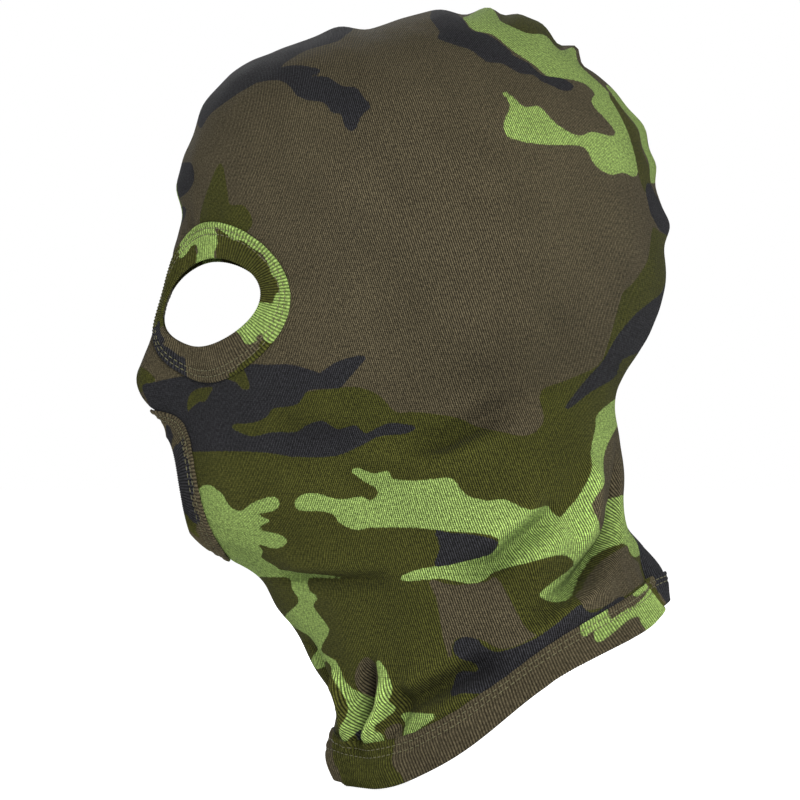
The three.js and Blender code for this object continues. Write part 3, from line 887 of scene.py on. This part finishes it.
def makeOverlock(name, profile, materials, paths):
    spec = overlockSpec
    run = seamRun(profile, spec["step"])
    normals = formNormals(run)
    lift = clothHeight(run, paths) - spec["depth"]
    bm, u, v = gridOf(len(run) - 1, spec["sides"])
    along = np.round(u * (len(run) - 1)).astype(int)
    turn = v * 2 * math.pi
    wide = spec["width"] / 2 * np.cos(turn)
    wide = wide + spec["unevenness"] * np.sin(along * 1.9)
    deep = spec["thickness"] / 2 * np.sign(np.sin(turn)) * np.abs(np.sin(turn)) ** 0.6
    points = run[along] + normals[along] * (lift[along] + deep)[:, None]
    points[:, 0] += wide
    movePoints(bm, points)
    bmesh.ops.remove_doubles(bm, verts=bm.verts, dist=0.01 * mm)
    ends = [edge for edge in bm.edges if edge.is_boundary]
    bmesh.ops.holes_fill(bm, edges=ends, sides=0)
    bmesh.ops.recalc_face_normals(bm, faces=bm.faces)
    # loops of thread lie across the strip on its inner face
    stitches = seamRun(profile, spec["stitchStep"])
    inward = formNormals(stitches)
    level = clothHeight(stitches, paths) - spec["depth"] - spec["thickness"] / 2 - 0.1
    half = spec["width"] / 2
    for i in range(len(stitches) - 1):
        start = stitches[i] + inward[i] * level[i] + (-half, 0, 0)
        end = stitches[i + 1] + inward[i + 1] * level[i + 1] + (half, 0, 0)
        addStitch(bm, start, end, threadSpec["radius"])
    return newPiece(name, bm, materials)


labelSpec = {"width": 22, "height": 17, "thickness": 0.4, "bottom": 9, "inset": 5.5, "stitchHeight": 2.5,
             "cornerCurl": 0.54, "wave": 0.3, "clearance": 0.2}


def napeFrame(height):
    place = hoodPoints(np.array([height - fanHeight]), np.array([math.pi]))
    return place[0], formNormals(place)[0]


def makeLabel(materials):
    spec = labelSpec
    bm, u, v = gridOf(26, 22)
    place, normal = napeFrame(spec["bottom"] + spec["height"] / 2)
    x = (u - 0.5) * spec["width"]
    up = (v - 0.5) * spec["height"]
    curl = spec["cornerCurl"] * (2 * u - 1) ** 2 * (0.4 + v) + spec["wave"] * np.sin(v * 3.2)
    points = place + np.outer(up, upNeck) - np.outer(spec["inset"] - curl + spec["clearance"], normal)
    points[:, 0] = x
    movePoints(bm, points)
    knitMap(bm, x, up)
    piece = newPiece("care_label_tape", bm, materials)
    shell = piece.modifiers.new("tape", "SOLIDIFY")
    shell.thickness = spec["thickness"] * mm
    shell.offset = 0
    return piece


def makeLabelStitch(materials):
    spec = labelSpec
    place, normal = napeFrame(spec["bottom"] + spec["stitchHeight"])
    bm = bmesh.new()
    reach = spec["width"] * 0.44
    for x in np.arange(-reach, reach - 1, threadSpec["dash"] + 0.5):
        level = -(spec["inset"] + spec["thickness"] + 0.1) * normal
        start = place + level + (x, 0, 0)
        addStitch(bm, start, start + (threadSpec["dash"], 0, 0), 0.2)
    return newPiece("label_hand_stitch", bm, materials)


def linear(red, green, blue):
    # a colour given as 0 to 255, as a shader wants it
    values = []
    for share in (red / 255, green / 255, blue / 255):
        values.append(((share + 0.055) / 1.055) ** 2.4 if share > 0.04 else share / 12.92)
    return (*values, 1.0)


printColours = {
    "brown": linear(91, 83, 63),
    "olive": linear(76, 77, 32),
    "green": linear(156, 183, 101),
    "black": linear(50, 50, 53),
}
knitSpec = {
    # lines: how strongly the grooves between the wales get painted shade and their tops painted highlight
    "jersey": {"wale": 0.95, "course": 0.8, "bump": 0.9, "lines": 0.85},
    "rib": {"wale": 1.35, "course": 0.8, "bump": 0.6, "lines": 0.6},
}


class Nodes:
    # short names for building a node tree
    def __init__(self, name):
        self.material = bpy.data.materials.new(name)
        self.material.use_nodes = True
        self.tree = self.material.node_tree
        self.shader = self.tree.nodes["Principled BSDF"]

    def add(self, kind, **settings):
        node = self.tree.nodes.new("ShaderNode" + kind)
        for key, value in settings.items():
            setattr(node, key, value)
        return node

    def fill(self, socket, value):
        if isinstance(value, bpy.types.NodeSocket):
            self.tree.links.new(value, socket)
        else:
            socket.default_value = value

    def math(self, operation, *values):
        node = self.add("Math", operation=operation)
        for socket, value in zip(node.inputs, values):
            self.fill(socket, value)
        return node.outputs[0]

    def mix(self, factor, a, b, blend="MIX"):
        node = self.add("Mix", data_type="RGBA", blend_type=blend)
        for index, value in ((0, factor), (6, a), (7, b)):
            self.fill(node.inputs[index], value)
        return node.outputs[2]

    def range(self, value, low, high, newLow, newHigh):
        node = self.add("MapRange")
        for socket, item in zip(node.inputs, (value, low, high, newLow, newHigh)):
            self.fill(socket, item)
        return node.outputs[0]

    def noise(self, vector, scale, detail=2.0):
        node = self.add("TexNoise")
        self.fill(node.inputs["Vector"], vector)
        node.inputs["Scale"].default_value = scale
        node.inputs["Detail"].default_value = detail
        return node.outputs["Fac"]

    def attribute(self, name):
        return self.add("Attribute", attribute_name=name).outputs["Fac"]

    def finish(self, colour, height, bump, bumpHeight, **values):
        self.fill(self.shader.inputs["Base Color"], colour)
        node = self.add("Bump")
        node.inputs["Strength"].default_value = bump
        node.inputs["Distance"].default_value = bumpHeight
        self.fill(node.inputs["Height"], height)
        self.fill(self.shader.inputs["Normal"], node.outputs[0])
        for name, value in values.items():
            self.shader.inputs[name.replace("_", " ")].default_value = value
        return self.material


knitLook = {
    "ink": (40.0, 4.0, 0.9, 1.1),  # noise scale and detail, then the darkest and the lightest
    "yarn": (850.0, 1.0, 0.62, 1.38),
    # creases: the fold height's range, then the painted shade in the valleys and the painted highlight on the
    # ridges
    # vees: the painted shade between the courses and the painted highlight on them
    "vees": (0.84, 1.14), "creases": (-9.0, 9.0, 0.55, 1.45), "reverseFade": 0.55,
    "edgeNoise": 750.0, "raggedness": 1.1, "edgeBlur": 0.22,
}
clothFinish = {"Roughness": 0.9, "Specular_IOR_Level": 0.16, "Sheen_Weight": 0.02, "Sheen_Roughness": 0.5}


def knitMaterial(name, spec, reverse=False):
    look = knitLook
    n = Nodes(name)
    knit = n.add("UVMap", uv_map="knit").outputs[0]
    apart = n.add("SeparateXYZ")
    n.fill(apart.inputs[0], knit)
    x, y = apart.outputs[0], apart.outputs[1]
    wander = n.noise(knit, 90.0)
    x = n.math("ADD", x, n.math("MULTIPLY", n.math("SUBTRACT", wander, 0.5), 0.5 * mm))
    turn = n.math("MULTIPLY", x, 2 * math.pi / (spec["wale"] * mm))
    wale = n.math("ADD", n.math("MULTIPLY", n.math("COSINE", turn), 0.5), 0.5)
    # each course bends into a row of small vees between the wales
    bend = n.math("MULTIPLY", wale, 0.35 * spec["wale"] * mm)
    courseTurn = n.math("MULTIPLY", n.math("ADD", y, bend), 2 * math.pi / (spec["course"] * mm))
    course = n.math("ADD", n.math("MULTIPLY", n.math("SINE", courseTurn), 0.5), 0.5)
    # the print, with edges that break up at the size of a stitch
    ragged = n.math("MULTIPLY", n.math("SUBTRACT", n.noise(knit, look["edgeNoise"], 3.0), 0.5),
                    look["raggedness"])
    colour = printColours["brown"]
    for layer in ("olive", "green", "black"):
        edge = n.math("ADD", n.attribute(layer), ragged)
        inside = n.range(edge, -look["edgeBlur"], look["edgeBlur"], 1.0, 0.0)
        colour = n.mix(inside, colour, printColours[layer])
    # uneven ink and heathered yarn
    patchy, yarn = (
        n.range(n.noise(knit, scale, detail), 0.3, 0.7, dark, light)
        for scale, detail, dark, light in (look["ink"], look["yarn"])
    )
    # painted shade in the grooves between the wales and courses and painted highlight on their tops,
    # following the bump's height
    lines = n.range(wale, 0.0, 1.0, 1 - spec["lines"], 1 + spec["lines"] * 0.75)
    vees = n.range(course, 0.0, 1.0, *look["vees"])
    shade = n.math("MULTIPLY", n.math("MULTIPLY", patchy, yarn), n.math("MULTIPLY", lines, vees))
    # painted shade darkens the valleys of the folds and gathers in the colour, and painted highlight lightens
    # their ridges: their relief alone is faint in soft light
    shade = n.math("MULTIPLY", shade, n.range(n.attribute("crease"), *look["creases"]))
    if reverse:
        colour = n.mix(look["reverseFade"], colour, linear(112, 106, 88))
    tone = n.add("CombineColor")
    for socket in tone.inputs:
        n.fill(socket, shade)
    colour = n.mix(1.0, colour, tone.outputs[0], "MULTIPLY")
    height = n.math("ADD", n.math("MULTIPLY", wale, 0.7), n.math("MULTIPLY", course, 0.3))
    return n.finish(colour, height, spec["bump"], 0.3 * mm, **clothFinish)


def threadMaterial(name, colour, twist):
    n = Nodes(name)
    place = n.add("TexCoord").outputs["Object"]
    wave = n.add("TexWave", wave_type="BANDS", bands_direction="DIAGONAL")
    n.fill(wave.inputs["Vector"], place)
    wave.inputs["Scale"].default_value = twist
    wave.inputs["Distortion"].default_value = 1.5
    ply = wave.outputs["Fac"]
    dark = tuple(c * 0.62 for c in colour[:3]) + (1.0,)
    worn = n.range(n.noise(place, 120.0), 0.35, 0.65, 0.0, 0.35)
    body = n.mix(n.range(ply, 0.2, 0.8, 0.0, 1.0), dark, colour)
    body = n.mix(worn, body, dark)
    return n.finish(body, ply, 0.5, 0.1 * mm, Roughness=0.55, Specular_IOR_Level=0.35, Sheen_Weight=0.1)


def labelMaterial(name):
    n = Nodes(name)
    knit = n.add("UVMap", uv_map="knit").outputs[0]
    weave = n.add("TexBrick")
    n.fill(weave.inputs["Vector"], knit)
    weave.inputs["Color1"].default_value = linear(222, 219, 208)
    weave.inputs["Color2"].default_value = linear(206, 203, 191)
    weave.inputs["Mortar"].default_value = linear(168, 165, 152)
    weave.inputs["Scale"].default_value = 2200.0
    weave.inputs["Mortar Size"].default_value = 0.06
    aged = n.mix(n.range(n.noise(knit, 180.0), 0.4, 0.75, 0.0, 0.5), weave.outputs["Color"],
                 linear(196, 190, 170))
    return n.finish(aged, weave.outputs["Fac"], 0.3, 0.08 * mm, Roughness=0.6, Specular_IOR_Level=0.3)


def floorMaterial():
    # its glow is only for the camera, so it looks as bright as the world and lights nothing
    n = Nodes("pale_floor")
    place = n.add("TexCoord").outputs["Object"]
    tint = n.mix(n.noise(place, 3.0), linear(246, 246, 246), linear(250, 250, 250))
    seen = n.add("LightPath").outputs["Is Camera Ray"]
    n.shader.inputs["Emission Color"].default_value = (1, 1, 1, 1)
    n.fill(n.shader.inputs["Emission Strength"], n.math("MULTIPLY", seen, studio["floorGlow"]))
    return n.finish(tint, n.noise(place, 60.0), 0.02, 0.1 * mm, Roughness=0.9, Specular_IOR_Level=0.1)


# Camera and light
studio = {
    "lens": 300, "distance": 2.75, "target": (0, -0.0062, -0.0453),
    "world": 0.14, "seenWorld": 1.0, "floorGlow": 0.93, "floorHalf": 9.0, "floorGap": 0.0004,
    "lampTarget": (0, 0, -0.05), "farthest": 50,
}
lamps = [  # name, place, size, power
    ("keyLight", (2.2, 0.45, 0.75), 0.6, 32),
    ("fillLight", (2.4, -0.2, -0.1), 1.0, 8),
    ("farSideLight", (-2.1, -0.6, 1.1), 0.9, 26),
    ("frontLight", (-0.1, -2.4, 0.7), 0.9, 7),
    ("backLight", (-0.3, 2.4, 0.9), 0.9, 9),
]


def aimAt(thing, target):
    thing.rotation_euler = (Vector(target) - thing.location).to_track_quat("-Z", "Y").to_euler()


def makeCamera():
    data = bpy.data.cameras.new("sideView")
    data.lens, data.sensor_width = studio["lens"], 36
    data.clip_end = studio["farthest"]
    camera = bpy.data.objects.new("sideView", data)
    target = Vector(studio["target"])
    camera.location = target + Vector((studio["distance"], 0, 0))
    aimAt(camera, target)
    bpy.context.scene.collection.objects.link(camera)
    bpy.context.scene.camera = camera


def makeLights():
    for name, place, size, power in lamps:
        data = bpy.data.lights.new(name, "AREA")
        data.size, data.energy = size, power
        lamp = bpy.data.objects.new(name, data)
        lamp.location = place
        aimAt(lamp, studio["lampTarget"])
        bpy.context.scene.collection.objects.link(lamp)
    # the camera sees a white world, which lights the hood only a little, so its folds keep their shade
    world = bpy.data.worlds.new("studio")
    world.use_nodes = True
    tree = world.node_tree
    background = tree.nodes["Background"]
    background.inputs["Color"].default_value = (1, 1, 1, 1)
    strength = tree.nodes.new("ShaderNodeMapRange")
    strength.inputs["To Min"].default_value = studio["world"]
    strength.inputs["To Max"].default_value = studio["seenWorld"]
    tree.links.new(tree.nodes.new("ShaderNodeLightPath").outputs["Is Camera Ray"], strength.inputs["Value"])
    tree.links.new(strength.outputs[0], background.inputs["Strength"])
    bpy.context.scene.world = world
    bpy.context.scene.view_settings.view_transform = "Standard"


def makeFloor(level):
    bm, u, v = gridOf(4, 4)
    half = studio["floorHalf"]
    points = np.column_stack(((u - 0.5) * 2 * half, (v - 0.5) * 2 * half, np.full(len(u), level)))
    movePoints(bm, points / mm)
    newPiece("floor", bm, [floorMaterial()])


makeCamera()
makeLights()
print("camera and lights set")

jersey = knitMaterial("camo_jersey_face", knitSpec["jersey"])
jerseyReverse = knitMaterial("camo_jersey_reverse", knitSpec["jersey"], reverse=True)
rib = knitMaterial("camo_rib", knitSpec["rib"])
thread = threadMaterial("khaki_thread", linear(138, 134, 97), 900.0)
overlockThread = threadMaterial("overlock_thread", linear(104, 100, 74), 700.0)
tape = labelMaterial("blank_label_tape")

loops = printLoops()
paths = foldPaths()
print("print and folds drawn")


def onBody(piece, node):
    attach(piece, "root")
    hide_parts(node)
    return piece


for name, side in (("left", 1), ("right", -1)):
    panel = makePanel(f"{name}_panel_cloth", side, loops, paths, [jersey, jerseyReverse])
    onBody(panel, f"{name}_panel")
    print(name, "panel made")


def eyePlace(angle, across):
    return ringPoints(eyeRing, angle, across)


def mouthPlace(angle, across):
    return ringPoints(mouthRing, angle, across)


openings = [  # name, node of the band, place, print, (mean radius, band width), side
    ("left_eye", "left_eye_band", eyePlace, "eye", (31, 14), 1),
    ("right_eye", "right_eye_band", eyePlace, "eye", (31, 14), -1),
    ("mouth", "mouth_band", mouthPlace, "mouth", (27, 11), 1),
    ("neck", "neck_hem_band", hemPoints, "hem", (66, 15), 1),
]
for name, node, place, prints, size, side in openings:
    band = makeBand(f"{node}_rib", place, bandPrints[prints], size, side, [rib], paths)
    onBody(band, node)
    rowNames = ("upper", "lower") if name == "neck" else ("outer", "inner")
    for rowName, across in zip(rowNames, stitchRows):
        row = makeStitchRow(f"{name}_{rowName}_stitches", place, across, side, [thread], paths)
        onBody(row, f"{name}_stitch_{rowName}")
    looper = makeLooper(f"{name}_looper_zigzag", place, side, [thread], paths)
    onBody(looper, f"{name}_looper_thread")
    print(name, "band sewn")

seamEnds = {"overMouth": 17, "underMouth": -44, "hem": 16}
seamBottom = seamEnds["hem"] - fanHeight
crownSeam = [(row, 0) for row in np.linspace(seamEnds["overMouth"], 90, 60)]
crownSeam += [(row, math.pi) for row in np.linspace(89, 0, 60)]
crownSeam += [(row, math.pi) for row in np.linspace(-3, seamBottom, 40)]
chinSeam = [(row, 0) for row in np.linspace(seamEnds["underMouth"], seamBottom, 40)]
for name, profile in (("crown", crownSeam), ("chin", chinSeam)):
    strip = makeOverlock(f"{name}_overlocked_edge", profile, [overlockThread], paths)
    onBody(strip, f"{name}_seam_overlock")
label = onBody(makeLabel([tape]), "care_label")
labelStitch = onBody(makeLabelStitch([thread]), "label_stitch")
print("seams and label made")

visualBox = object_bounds()
makeFloor(min(visualBox[0][2], cadBox[0][2]) - studio["floorGap"])
